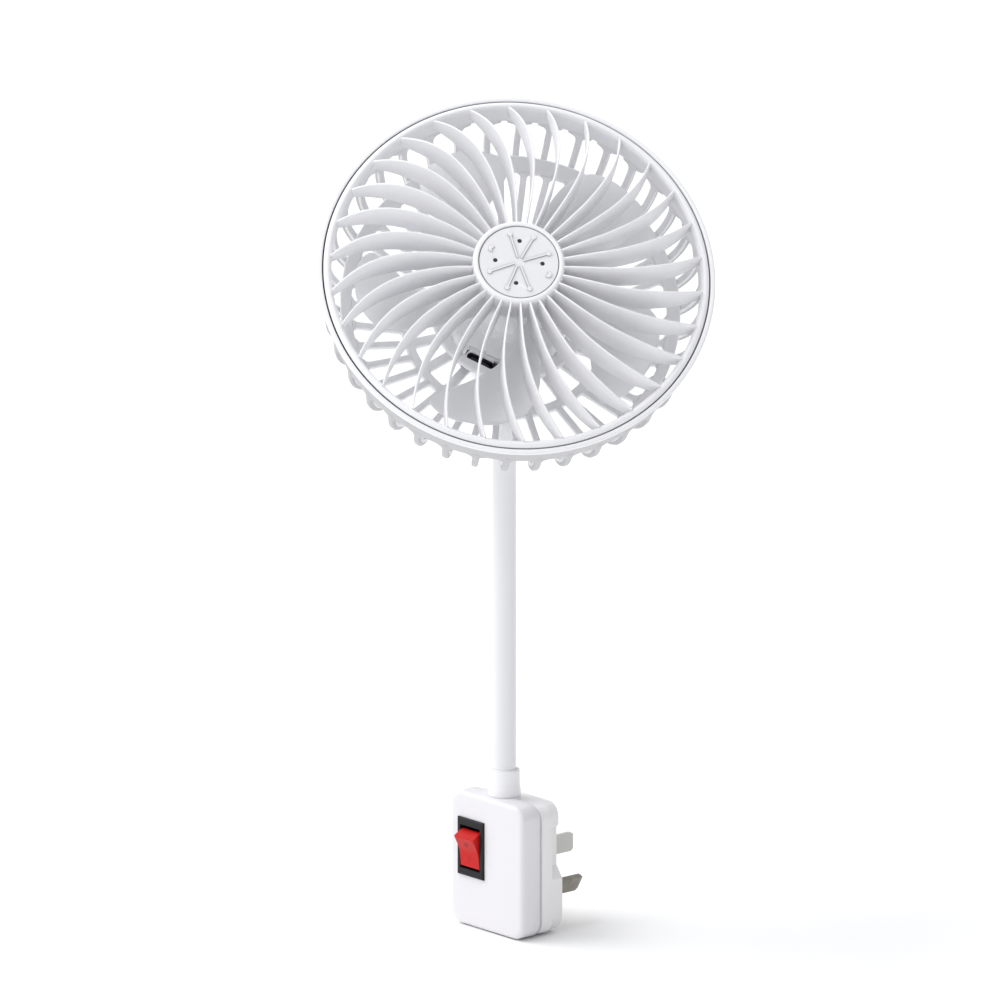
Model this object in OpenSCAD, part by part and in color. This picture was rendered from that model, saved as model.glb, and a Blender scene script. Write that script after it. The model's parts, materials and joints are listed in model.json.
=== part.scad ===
// Wall plug fan: a round caged fan head on a bendable neck that rises from a switched mains plug.
// Millimetres. The plug's rear face lies in the XZ plane with its centre at the origin,
// the pins point along +Y into the socket, the switch faces -Y and +Z is up.
// The head has its own frame: Z is the fan's axis (out of the front), X and Y lie in the rim plane.

/* [Plug] */
// Width of the plug body
plug_w = 35.8; // [35.4:0.2:40]
// Height of the plug body
plug_h = 45; // [44.6:0.1:50]
// Depth of the front shell
front_d = 7.8; // [7.6:0.1:9]
// Depth of the rear shell
rear_d = 10; // [9.8:0.1:11]
// Wall thickness of the plug shells
shell_t = 1.6; // [1.2:0.1:1.8]

/* [Pins] */
// Radius of the circle that the three pin centres lie on
pin_circle = 7.92; // [7.8:0.02:8]
// Height of the earth pin's centre
earth_z = 1; // [0.6:0.1:1.4]
// Width of a pin
pin_w = 6.35; // [6.2:0.05:6.5]
// Thickness of a pin
pin_t = 1.6; // [1.5:0.05:1.7]
// Length of the two lower pins
pin_l = 16.7; // [16.6:0.1:17.5]
// Length of the earth pin
earth_l = 19.6; // [19.5:0.1:20.3]

/* [Switch] */
// Sideways place of the switch, from the plug's centre
sw_x = -7.1; // [-7.4:0.1:-6.9]
// Height of the switch, from the plug's centre
sw_z = 3.8; // [2.4:0.1:4]
// Tilt of the rocker on either side of level
rock = 16; // [12:0.5:17]

/* [Neck] */
// Outer diameter of the neck
neck_dia = 7.7; // [7.1:0.02:8]
// Height of the first neck hinge
hinge0 = 46; // [44:1:50]
// Distance between neck hinges
hinge_step = 15; // [14:0.5:16]
// Height at which the straight neck starts its bend to the head
bend_z = 140.308; // [136:0.001:150]
// Radius of that bend
bend_r = 22; // [18:0.5:24]

/* [Head] */
// Radius of the casing's outer lip
rim_r = 65; // [64.6:0.1:65.4]
// Number of vanes in the front grille
vanes = 30; // [24:1:32]
// Thickness of a vane
vane_t = 1.2; // [1:0.1:1.6]
// Number of ribs in the rear casing
ribs = 38; // [30:1:40]
// Number of bars behind the impeller
bars = 42; // [30:3:45]
// Radius of the impeller
blade_r = 52; // [48:0.5:53]
// Number of blades
blades = 5; // [3:1:6]
// Fan axis above the horizontal
tilt = 41.5; // [38:0.5:45]
// Fan axis turned from the plug's front
yaw = 55.7; // [40:0.1:60]

/* [Hidden] */
$fn = 48;
e = 0.01;
plug_d = front_d + rear_d;
plug_z = -0.5;           // the outline's centre sits a little below the origin
top_z = plug_z + plug_h/2;

// ---------- neck and head placement
stem_y = -9.9;
neck_r = neck_dia/2;
bore_r = 2.9;            // hole in the sleeve that holds the core
ball_gap = 0.05;
head_roll = 14.2;        // turn of the vane pattern about the axis
sky = 90 - tilt;
entry_turn = 5.094;        // the neck enters the pod this far round from straight below
pod_in = 41.185;           // depth of the neck's entry behind the rim
pod_r = 19.2;
ferr_l = 4.3;
// unit vectors of the head, before head_roll
hn = [sin(sky)*sin(yaw), -sin(sky)*cos(yaw), cos(sky)];
hx = [cos(yaw), sin(yaw), 0];
hg = cross(hn, hx);
en = hg*cos(entry_turn) + hx*sin(entry_turn);   // from the neck into the pod
bend_a = acos(en[2]);
bend_az = atan2(en[1], en[0]);
bend_h = [cos(bend_az), sin(bend_az), 0];
neck_end = [0, stem_y, bend_z] + [0, 0, bend_r*sin(bend_a)] + bend_h*bend_r*(1 - cos(bend_a));
rim_c = neck_end + en*(ferr_l + pod_r) + hn*pod_in;

module head() translate(rim_c) rotate([sky, 0, yaw]) rotate([0, 0, -head_roll]) children();
// frame at the neck's end: Z along the neck into the pod, X outward of the bend
module neck_tip() translate(neck_end) rotate([0, 0, bend_az]) rotate([0, bend_a, 0]) children();
// entry direction seen in the head frame
entry_ang = 90 - entry_turn + head_roll + 180;

function hz(i) = hinge0 + hinge_step*i;

// ---------- small helpers
module rr(w, h, r) { // rounded rectangle, centred
  square([w - 2*r, h], center = true);
  square([w, h - 2*r], center = true);
  for (x = [-1, 1], y = [-1, 1]) translate([x*(w/2 - r), y*(h/2 - r)]) circle(r);
}
module slot2(l, w) { square([l - w, w], center = true); for (x = [-1, 1]) translate([x*(l - w)/2, 0]) circle(w/2); }
module tube(r1, r0, h) difference() { cylinder(r = r1, h = h); translate([0, 0, -1]) cylinder(r = r0, h = h + 2); }
// box given by its lowest and highest corner
module bx(a, b) translate(a) cube(b - a);

// ---------- front grille
function dome(r) = 10.7 - 9.6*pow(max(0, (r - 28)/33), 3) - 0.009*pow(min(0, r - 28), 2);
function vane_a(r) = 78.05 + 12.15*pow((r - 20)/41, 2);
hub_r = 15.1;
ring_in = 60.2;
seam_r = rim_r - 1.75;
module vane2d() {
  n = 11;
  rs = [for (i = [0:n]) 13.6 + (ring_in + 0.5 - 13.6)*i/n];
  function nrm(r) = let(d = 0.2, p = r*[cos(vane_a(r)), sin(vane_a(r))], q = (r + d)*[cos(vane_a(r + d)), sin(vane_a(r + d))], t = (q - p)/norm(q - p)) [-t[1], t[0]];
  function pt(r, s) = r*[cos(vane_a(r)), sin(vane_a(r))] + nrm(r)*s*vane_t/2;
  polygon(concat([for (r = rs) pt(r, -1)], [for (i = [n:-1:0]) pt(rs[i], 1)]));
}
module front_grille() color("whitesmoke") head() {
  difference() {
    union() {
      intersection() {
        for (k = [0:vanes - 1]) rotate([0, 0, 360*k/vanes]) translate([0, 0, -4]) linear_extrude(16) vane2d();
        rotate_extrude($fn = 96) polygon(concat(
          [[12, 12], [12, -1.6], [30, -1.6], [61.5, -4]],
          [for (i = [0:9]) let(r = 61.5 - (61.5 - 12)*i/9) [r, dome(min(r, 61))]]));
      }
      // outer ring with its skirt
      rotate_extrude($fn = 96) polygon([[ring_in, -7.4], [61.2, -7.4], [61.2, -3.1], [seam_r - 0.25, -3.1],
        [seam_r - 0.25, 0.1], [seam_r - 0.55, 0.45], [62.1, 0.8], [61.2, 0.75], [60.5, 0.35], [ring_in, -0.3]]);
      // hub boss
      rotate_extrude($fn = 96) polygon([[13.0, -1.8], [hub_r, -1.8], [hub_r, 8.45], [14.7, 9.05], [14.1, 9.45], [13.5, 9.45], [13.2, 9.25], [13.2, 7.35], [0, 7.35], [0, 5.75], [13.0, 5.75]]);
    }
    // two blind holes take the cap's pegs
    for (x = [-8, 8]) translate([x, 0, 5]) cylinder(r = 1.05, h = 4, $fn = 24);
  }
}
cap_spokes = [116, 72, 29, -60.5, -102, -148];
module hub_cap() color("gainsboro") head() translate([0, 0, -0.85]) {
  difference() {
    union() {
      rotate_extrude($fn = 96) polygon([[0, 8.3], [13.1, 8.3], [13.1, 9.7], [12.8, 10.0], [0, 10.0]]);
      for (a = cap_spokes) rotate([0, 0, a]) {
        translate([1.6, -0.28, 9.9]) cube([8.2, 0.56, 0.4]);
        translate([10.3, 0, 9.9]) cylinder(r = 0.8, h = 0.4, $fn = 24);
      }
      for (q = [[-14, 10.5], [163, 9.9]]) rotate([0, 0, q[0]]) translate([q[1], 0, 9.9]) difference() {
        cylinder(r = 1.1, h = 0.4, $fn = 24);
        translate([-1.25, 0, -1]) cylinder(r = 1.1, h = 3, $fn = 24);
      }
      for (x = [-8, 8]) translate([x, 0, 6.7]) cylinder(r = 1.0, h = 2, $fn = 24);
    }
    for (a = [98, 187, 8, 273]) rotate([0, 0, a]) translate([7.7, 0, 9.0]) cylinder(r = 0.75, h = 2, $fn = 24);
  }
}

// ---------- rear casing
rib_w = 2.2;
module rib2d() polygon([[62.4, -7], [63.1, -9.3], [62.6, -13], [61.9, -17.5], [60.4, -22], [58.2, -25.8], [55.6, -28.4], [52.0, -28.2],
  [52.0, -27.0], [53, -26.0], [55.8, -24.0], [57.9, -20.7], [59.3, -16.6], [60.2, -12], [60.9, -9.3], [61.8, -7]]);
module radial(a, w) rotate([0, 0, a]) rotate([90, 0, 0]) translate([0, 0, -w/2]) linear_extrude(w) children();
slot_a = 253;           // angle of the socket's slot
module casing_ring(p) rotate_extrude($fn = 96) polygon(p);
module rear_casing() color("whitesmoke") head() {
  // lip, and the wall that the ribs grow from
  casing_ring([[seam_r + 0.1, -0.2], [seam_r + 0.4, 0.1], [rim_r - 0.3, 0.0], [rim_r, -0.3], [rim_r, -1.2], [rim_r - 0.4, -1.6], [63.6, -2.1], [63.4, -3.2], [62.7, -8.7], [61.5, -8.7], [61.4, -3.3], [seam_r + 0.1, -3.3]]);
  for (k = [0:ribs - 1]) radial(3.14 + 360*k/ribs, rib_w) rib2d();
  // ring that joins the ribs' ends
  casing_ring([[51.6, -26.5], [55.2, -22.9], [55.8, -23.4], [55.0, -24.8], [52.4, -28.1], [51.6, -28.3]]);
}
// bars in groups of three, each group on its own piece of ring
groups = floor(bars/3);
module back_grille() color("whitesmoke") head() {
  casing_ring([[31.8, -36.2], [33.3, -36.2], [33.3, -33.8], [31.8, -33.8]]);
  for (k = [0:19]) radial(8 + 18*k, 3.2) polygon([[19.28, -36.0], [19.28, -33.85], [32.6, -33.85], [32.6, -36.0]]);
  for (g = [0:groups - 1]) {
    rotate([0, 0, 8.53 + 360*g/groups - 4.2]) rotate_extrude(angle = 360/groups - 0.1, $fn = 96) polygon([[33.36, -36.2], [34.9, -36.2], [34.9, -33.8], [33.36, -33.8]]);
    for (k = [0:2]) radial(8.53 + 360*g/groups + 120*k/groups, 2.2) polygon([[33.6, -36.1], [33.6, -33.9], [51.55, -26.7], [51.55, -28.85]]);
  }
}
module motor_housing() color("whitesmoke") head() {
  difference() {
    union() {
      // motor cup, front plate and pod wall
      casing_ring([[0, -17.5], [12.2, -17.5], [12.6, -17.9], [12.6, -23.9], [25.6, -23.9], [26.0, -24.3], [26.0, -26], [19.2, -26], [19.2, -36], [17.4, -36], [17.4, -26], [10.8, -26], [10.8, -19.1], [0, -19.1]]);
      // posts for the cover screws
      for (a = post_a) rotate([0, 0, a]) { translate([post_p, 0, -35.9]) cylinder(r = 2.4, h = 10.5, $fn = 24); bx([post_p + 2, -0.8, -35.9], [18, 0.8, -25.5]); }
    }
    // shaft and motor screw holes
    translate([0, 0, -21]) cylinder(r = 3.1, h = 6);
    for (a = [0, 180]) rotate([0, 0, a + 40]) translate([7, 0, -21]) cylinder(r = 1.1, h = 6, $fn = 24);
    for (a = post_a) rotate([0, 0, a]) translate([post_p, 0, -37]) cylinder(r = 0.9, h = 9, $fn = 24);
    // windows in the plate
    for (k = [0:19]) let(a = 325 - 18*k) if (abs(a - 253) > 12 && abs(a - 224) > 22) rotate([0, 0, a]) translate([21.1, 0, -25]) cube([3.6, 4.4, 4], center = true);
    // long window and the shallow pocket round the slot
    rotate([0, 0, 213]) rotate_extrude(angle = 26, $fn = 96) translate([19.3, -27]) square([3.2, 4]);
    rotate([0, 0, slot_a]) translate([20.7, 0, -24.4]) cube([4.6, 12.6, 2], center = true);
    rotate([0, 0, slot_a]) translate([21.1, 0, -27]) rotate([0, 0, 90]) linear_extrude(4) slot2(9.6, 3.0);
  }
}
module lead_socket() color("black") head() rotate([0, 0, slot_a]) {
  difference() {
    bx([19.25, -5.6, -31], [23.4, 5.6, -26.02]);
    translate([21.1, 0, -29]) rotate([0, 0, 90]) linear_extrude(4) slot2(9.0, 2.4);
  }
  translate([21.1, 0, -29.5]) rotate([0, 0, 90]) linear_extrude(2.9) slot2(6.6, 0.8);
}
post_a = [30, 150, 226];
post_p = 13.5;
module pod_cover() color("whitesmoke") head() difference() {
  union() {
    rotate_extrude($fn = 96) polygon([[17.4, -36.05], [19.2, -36.05], [19.2, -41.5], [18.9, -44], [17.9, -46.6], [16.4, -48.2], [14.6, -49], [0, -49], [0, -47.4], [14.0, -47.4], [15.3, -46.8], [16.5, -45.4], [17.2, -43.2], [17.4, -41]]);
    for (a = post_a) rotate([0, 0, a]) translate([post_p, 0, -47.6]) cylinder(r = 2.4, h = 11.5, $fn = 24);
    // seat of the ferrule
    rotate([0, 0, entry_ang]) translate([15.2, 0, -pod_in]) rotate([0, 90, 0]) cylinder(r = 5.0, h = 3.2);
  }
  for (a = post_a) rotate([0, 0, a]) translate([post_p, 0, 0]) { translate([0, 0, -50]) cylinder(r = 1.2, h = 20, $fn = 24); translate([0, 0, -50]) cylinder(r = 1.9, h = 3.6, $fn = 24); }
  rotate([0, 0, entry_ang]) translate([10, 0, -pod_in]) rotate([0, 90, 0]) { cylinder(r = 3.0, h = 12); translate([0, 0, 8.6]) cylinder(r = 5.3, h = 4); }
  // vent slots in the back
  for (y = [-6:3:6]) translate([0, y, -50]) linear_extrude(4) slot2(16 - abs(y)*0.6, 1.4);
}
module pod_screws() color("silver") head() for (a = post_a) rotate([0, 0, a]) translate([post_p, 0, 0]) {
  difference() { translate([0, 0, -47.5]) cylinder(r = 1.75, h = 1.05, $fn = 24); translate([0, 0, -47.6]) for (q = [0, 90]) rotate([0, 0, q]) cube([2.2, 0.5, 0.9], center = true); }
  translate([0, 0, -46.5]) cylinder(r = 1.1, h = 10.4, $fn = 24);
  translate([0, 0, -36.2]) cylinder(r = 0.88, h = 6, $fn = 24);
}
module motor_screws() color("silver") head() for (a = [0, 180]) rotate([0, 0, a + 40]) translate([7, 0, 0]) {
  translate([0, 0, -17.45]) difference() { cylinder(r = 1.9, h = 0.9, $fn = 24); translate([0, 0, 0.9]) for (q = [0, 90]) rotate([0, 0, q]) cube([2.4, 0.5, 0.7], center = true); }
  translate([0, 0, -20.9]) cylinder(r = 0.98, h = 3.6, $fn = 24);
}

// ---------- impeller
function bl_c(r) = 47 + 35*pow((52 - r)/39.5, 1.35);
function sst(x) = let(t = min(1, max(0, x))) t*t*(3 - 2*t);
function bl_w(r) = (3.8 + 12.6*sst((r - 18)/29))*(r > 47 ? sqrt(max(0.02, 1 - pow((r - 47)/6.2, 2))) : 1);
function bl_p(r) = 0.25 + 0.55*pow((52 - r)/39.5, 1.2);
function bl_d(r) = 10 + 1.2*(52 - r)/39.5;
// point on a blade: r, s from -1 (trailing) to 1 (leading), f = +-1 for the two faces
function bl_pt(r, s, f) = let(w = bl_w(r), arc = s*w, a = bl_c(r) + arc/r*180/PI)
  [r*cos(a), r*sin(a), -(bl_d(r) - arc*bl_p(r)) + 1.1*(1 - s*s)*0.9 + f*(0.25 + 0.45*(1 - s*s))];
module blade() {
  nr = 9; ns = 6;
  rs = [for (i = [0:nr]) let(t = i/nr) 12.4 + (blade_r - 12.4)*(1 - pow(1 - t, 1.25))];
  top = [for (i = [0:nr], j = [0:ns]) bl_pt(rs[i], -1 + 2*j/ns, 1)];
  bot = [for (i = [0:nr], j = [0:ns]) bl_pt(rs[i], -1 + 2*j/ns, -1)];
  m = ns + 1; b = (nr + 1)*m;
  function id(i, j) = i*m + j;
  polyhedron(concat(top, bot), concat(
    [for (i = [0:nr - 1], j = [0:ns - 1], h = [0, 1]) h == 0 ? [id(i, j), id(i, j + 1), id(i + 1, j + 1)] : [id(i, j), id(i + 1, j + 1), id(i + 1, j)]],
    [for (i = [0:nr - 1], j = [0:ns - 1], h = [0, 1]) h == 0 ? [b + id(i, j), b + id(i + 1, j + 1), b + id(i, j + 1)] : [b + id(i, j), b + id(i + 1, j), b + id(i + 1, j + 1)]],
    [for (j = [0:ns - 1], h = [0, 1]) h == 0 ? [id(0, j + 1), id(0, j), b + id(0, j)] : [id(0, j + 1), b + id(0, j), b + id(0, j + 1)]],
    [for (j = [0:ns - 1], h = [0, 1]) h == 0 ? [id(nr, j), id(nr, j + 1), b + id(nr, j + 1)] : [id(nr, j), b + id(nr, j + 1), b + id(nr, j)]],
    [for (i = [0:nr - 1], h = [0, 1]) h == 0 ? [id(i, 0), id(i + 1, 0), b + id(i + 1, 0)] : [id(i, 0), b + id(i + 1, 0), b + id(i, 0)]],
    [for (i = [0:nr - 1], h = [0, 1]) h == 0 ? [id(i + 1, ns), id(i, ns), b + id(i, ns)] : [id(i + 1, ns), b + id(i, ns), b + id(i + 1, ns)]]));
}
module impeller() color("white") head() {
  for (k = [0:blades - 1]) rotate([0, 0, 360*k/blades]) blade();
  difference() {
    rotate_extrude($fn = 96) polygon([[0, -3.2], [6, -3.3], [10.5, -4.0], [12.6, -5.4], [13.2, -7.4], [13.2, -16.4], [12.0, -16.4], [12.0, -8], [11.2, -6.2], [9.6, -5.4], [3.4, -4.9], [3.4, -14.2], [0, -14.2]]);
    translate([0, 0, -15]) cylinder(r = 1.0, h = 9.5);
  }
}

// ---------- motor
module motor_shaft() color("silver") head() translate([0, 0, -46]) cylinder(r = 0.995, h = 40);
module motor_can() color("silver") head() difference() {
  union() { translate([0, 0, -41]) cylinder(r = 10.6, h = 21.8, $fn = 64); translate([0, 0, -19.3]) cylinder(r = 3.0, h = 1.7); }
  translate([0, 0, -42]) cylinder(r = 9.9, h = 22.0, $fn = 64);
  translate([0, 0, -21]) cylinder(r = 2.2, h = 5);
  for (a = [0, 180]) rotate([0, 0, a + 40]) translate([7, 0, -21]) cylinder(r = 1.0, h = 4, $fn = 24);
}
module motor_end_cap() color("dimgray") head() difference() {
  translate([0, 0, -43.6]) union() { cylinder(r = 10.6, h = 2.5, $fn = 64); translate([0, 0, 2]) cylinder(r = 9.85, h = 2.0, $fn = 64); translate([0, 0, -1.2]) cylinder(r = 3.2, h = 2); }
  translate([0, 0, -41]) cylinder(r = 8.6, h = 2, $fn = 64);
  translate([0, 0, -46]) cylinder(r = 2.2, h = 6);
}
module motor_magnets() color("darkslategray") head() for (a = [0, 180]) rotate([0, 0, a + 15]) rotate_extrude(angle = 150, $fn = 96) translate([7.9, -38]) square([1.95, 15]);
module rotor_core() color("gray") head() translate([0, 0, -36.5]) linear_extrude(12) difference() {
  union() {
    circle(3.4);
    for (k = [0:2]) rotate(120*k) {
      translate([0, -1.2]) square([6.8, 2.4]);
      intersection() {
        difference() { circle(7.5, $fn = 96); circle(6.2, $fn = 96); }
        polygon([[0, 0], [9*cos(42), -9*sin(42)], [13, 0], [9*cos(42), 9*sin(42)]]);
      }
    }
  }
  circle(1.0);
}
module rotor_windings() color("peru") head() for (k = [0:2]) rotate([0, 0, 120*k]) difference() {
  translate([3.45, -2.4, -37.4]) cube([2.15, 4.8, 13.8]);
  translate([3, -1.25, -36.55]) cube([5, 2.5, 12.1]);
}
module commutator() color("orange") head() difference() {
  translate([0, 0, -40.4]) cylinder(r = 2.3, h = 2.6);
  translate([0, 0, -41]) cylinder(r = 1.0, h = 4);
}
module motor_bush_front() color("goldenrod") head() translate([0, 0, -20.9]) tube(2.2, 1.05, 3.2);
module motor_bush_rear() color("goldenrod") head() translate([0, 0, -44.7]) tube(2.2, 1.05, 2.6);
module motor_brushes() color("orange") head() for (s = [-1, 1]) {
  bx([s > 0 ? 2.4 : -3.6, -1, -40.2], [s > 0 ? 3.6 : -2.4, 1, -38.2]);
  bx([s > 0 ? 3.6 : -8.5, -0.9, -39.9], [s > 0 ? 8.5 : -3.6, 0.9, -39.6]);
}
module motor_board() color("darkgreen") head() {
  difference() { translate([0, 0, -46.2]) cylinder(r = 9, h = 1.2); translate([0, 0, -47]) cylinder(r = 3.4, h = 3); }
  for (a = [60, 200]) rotate([0, 0, a]) translate([5.6, 0, -46.9]) translate([-1, -1.4, 0]) cube([2, 2.8, 0.8]);
}

// ---------- neck
// sleeve between two hinges: a socket at its foot, a ball at its head
module ball_end(z) translate([0, 0, z]) sphere(r = neck_r);
module socket_cut(z) { translate([0, 0, z]) sphere(r = neck_r + ball_gap); translate([0, 0, z - 10]) cylinder(r = neck_r + 1, h = 10 + 1.45); }
module sleeve_mid(i) translate([0, stem_y, 0]) difference() {
  union() { translate([0, 0, hz(i - 1)]) cylinder(r = neck_r, h = hinge_step); ball_end(hz(i)); }
  socket_cut(hz(i - 1));
  translate([0, 0, hz(i - 1) - 1]) cylinder(r = bore_r, h = hinge_step + 10);
}
module core_mid(i) translate([0, stem_y, hz(i - 1) + 4.3]) tube(bore_r - 0.02, 1.7, hinge_step - 4.8);
module sleeve_base() translate([0, stem_y, 0]) difference() {
  union() { translate([0, 0, 23.5]) cylinder(r = neck_r, h = hinge0 - 23.5); ball_end(hinge0); }
  translate([0, 0, 20]) cylinder(r = bore_r, h = 40);
}
module core_base() translate([0, stem_y, 23.5]) tube(bore_r - 0.02, 1.7, hinge0 - 24);
// tube that goes up from z0, round the bend and on to the ferrule, drawn in the bend's plane with the neck at X = 0
module bent_tube(r1, r0, z0) translate([0, stem_y, bend_z]) rotate([0, 0, bend_az]) {
  translate([0, 0, z0 - bend_z]) tube2(r1, r0, bend_z - z0);
  translate([bend_r, 0, 0]) rotate([90, 0, 0]) rotate([0, 0, 180 - bend_a]) rotate_extrude(angle = bend_a) translate([bend_r, 0]) difference() { circle(r1); circle(r0); }
  translate([bend_r*(1 - cos(bend_a)), 0, bend_r*sin(bend_a)]) rotate([0, bend_a, 0]) tube2(r1, r0, ferr_l - 1.5);
}
module tube2(r1, r0, h) linear_extrude(h) difference() { circle(r1); circle(r0); }
module sleeve_top() difference() {
  bent_tube(neck_r, bore_r, hz(5));
  translate([0, stem_y, 0]) socket_cut(hz(5));
}
module core_top() bent_tube(bore_r - 0.02, 1.7, hz(5) + 4.3);
module neck_sleeve_0() color("white") sleeve_base();
module neck_sleeve_1() color("white") sleeve_mid(1);
module neck_sleeve_2() color("white") sleeve_mid(2);
module neck_sleeve_3() color("white") sleeve_mid(3);
module neck_sleeve_4() color("white") sleeve_mid(4);
module neck_sleeve_5() color("white") sleeve_mid(5);
module neck_sleeve_6() color("white") sleeve_top();
module neck_core_0() color("silver") core_base();
module neck_core_1() color("silver") core_mid(1);
module neck_core_2() color("silver") core_mid(2);
module neck_core_3() color("silver") core_mid(3);
module neck_core_4() color("silver") core_mid(4);
module neck_core_5() color("silver") core_mid(5);
module neck_core_6() color("silver") core_top();
// ferrule: a collar on the neck's end with a stud through the pod's wall
module neck_ferrule() color("whitesmoke") neck_tip() {
  rotate_extrude() polygon([[neck_r + 0.01, 0.1], [4.6, 0.1], [5.0, 0.5], [5.0, ferr_l + 0.55], [2.95, ferr_l + 0.55], [2.95, ferr_l + 5.5], [1.6, ferr_l + 5.5], [1.6, ferr_l - 1.45], [neck_r + 0.01, ferr_l - 1.45]]);
}
module head_lead() color("black") neck_tip() { translate([0, 0, -4]) cylinder(r = 1.2, h = ferr_l + 10.4, $fn = 24); }

// ---------- collar on the plug
coll_r = 5.1;
module neck_collar() color("whitesmoke") translate([0, stem_y, 0]) difference() {
  rotate_extrude() polygon([[1.8, top_z - 5.5], [3.6, top_z - 5.5], [3.6, top_z], [5.4, top_z], [5.4, top_z + 1.2], [5.25, top_z + 3.4], [coll_r, top_z + 4.0],
    [coll_r, 30.5], [4.8, 30.9], [neck_r + 0.01, 30.9], [neck_r + 0.01, 23.4], [1.8, 23.4]]);
}
module collar_nut() color("silver") translate([0, stem_y, top_z - 5.4]) difference() { cylinder(r = 5.5, h = 2.2, $fn = 6); translate([0, 0, -1]) cylinder(r = 3.62, h = 5); }
module plug_lead() color("black") translate([0, stem_y, 13]) cylinder(r = 1.2, h = 15, $fn = 24);

// ---------- plug shells
module prism(y0, y1) translate([0, y1, 0]) rotate([90, 0, 0]) linear_extrude(y1 - y0) children();
module plug_xz(w, h, r, y0, y1) prism(y0, y1) translate([0, plug_z]) rr(w, h, r);
module chamfered(w, h, r, y0, y1, c) hull() { // rounded front edge, front at y0
  for (q = [[0, 1], [0.29, 0.29], [1, 0]]) prism(y0 + c*q[0], y1) translate([0, plug_z]) rr(w - 2*c*q[1], h - 2*c*q[1], max(0.6, r - c*q[1]), $fn = 32);
}
module front_shell() color("whitesmoke") difference() {
  union() {
    difference() {
      chamfered(plug_w, plug_h, 5, -plug_d, -rear_d, 1.5);
      plug_xz(plug_w - 2*shell_t, plug_h - 2*shell_t, 3.4, -plug_d + shell_t, -rear_d + 1);
    }
    for (p = screw_p) translate([p[0], -rear_d - 0.1, p[1]]) rotate([90, 0, 0]) cylinder(r = 2.1, h = front_d - 1, $fn = 24);
  }
  for (p = screw_p) translate([p[0], -rear_d + 1, p[1]]) rotate([90, 0, 0]) cylinder(r = 0.95, h = 5, $fn = 24);
  translate([0, stem_y, 15]) cylinder(r = 3.65, h = 10);
  translate([sw_x, -plug_d - 1, sw_z]) cube([12.1, 10, 17.9], center = true);
}
screw_p = [[-11.6, -17], [11.6, 16.6]];
shelf_y = -4.5;          // back of the full outline; the waisted part reaches from here to the wall
rear_low = 1.2;          // the rear shell's top is this much lower than the front shell's
function arc(x, z, r, a0, a1) = [for (i = [0:8]) let(a = a0 + (a1 - a0)*i/8) [x + r*cos(a), z + r*sin(a)]];
// outline behind the shelf, i further in
module waisted(i) {
  a = plug_w/2 - 0.4 - i; b = plug_w/2 - 3.3 - i; c = plug_w/2 - 2.3 - i; lo = plug_z - plug_h/2 + 0.3 + i; hi = top_z - 0.3 - rear_low - i;
  right = concat(arc(a - 6.4 + i, lo + 6.4 - i, 6.4 - i, -90, 0), [[a, -4.4], [b, -0.4], [b, 12.4], [c, 13.4]], arc(c - 4.5 + i, hi - 4.5 + i, 4.5 - i, 0, 90));
  polygon(concat(right, [for (k = [len(right) - 1:-1:0]) [-right[k][0], right[k][1]]]));
}
module rear_xz(w, h, r, y0, y1, low = rear_low) prism(y0, y1) translate([0, plug_z - low/2]) rr(w, h - low, r);
module rear_shell() color("whitesmoke") difference() {
  union() {
    difference() {
      union() {
        rear_xz(plug_w - 2.6, plug_h - 2.6, 3.7, -rear_d + 0.02, -rear_d + 1.2, 0.2);
        rear_xz(plug_w - 0.4, plug_h - 0.4, 4.8, -rear_d + 1.1, shelf_y);
        prism(shelf_y - 0.1, 0) waisted(0);
      }
      rear_xz(plug_w - 2*shell_t - 1, plug_h - 2*shell_t - 0.6, 3.1, -rear_d - 1, shelf_y - 1.5);
      prism(shelf_y - 2, -1.6) waisted(1.5);
    }
    for (p = screw_p) translate([p[0], -0.8, p[1]]) rotate([90, 0, 0]) cylinder(r = 2.1, h = rear_d - 1.2, $fn = 24);
    // seat under the collar's rear half
    intersection() {
      translate([0, stem_y, top_z - 2.6]) cylinder(r = 5.4, h = 2.6);
      bx([-6, -rear_d + 0.02, top_z - 4], [6, 0, top_z + 1]);
    }
  }
  translate([0, stem_y, 15]) cylinder(r = 3.65, h = 10);
  // pin holes
  for (s = [-1, 0, 1]) at_pin(s) bx([-pin_t/2 - 0.05, -4, -pin_w/2 - 0.05], [pin_t/2 + 0.05, 1, pin_w/2 + 0.05]);
  for (p = screw_p) translate([p[0], 1, p[1]]) rotate([90, 0, 0]) { cylinder(r = 0.95, h = 12, $fn = 24); cylinder(r = 1.7, h = 2.2, $fn = 24); }
}
module shell_screws() color("silver") for (p = screw_p) translate([p[0], 0, p[1]]) rotate([90, 0, 0]) {
  difference() { translate([0, 0, 0.25]) cylinder(r = 1.6, h = 0.9, $fn = 24); for (q = [0, 90]) rotate([0, 0, q]) cube([2, 0.4, 0.9], center = true); }
  translate([0, 0, 0.6]) cylinder(r = 0.9, h = 11, $fn = 24);
}

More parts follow.
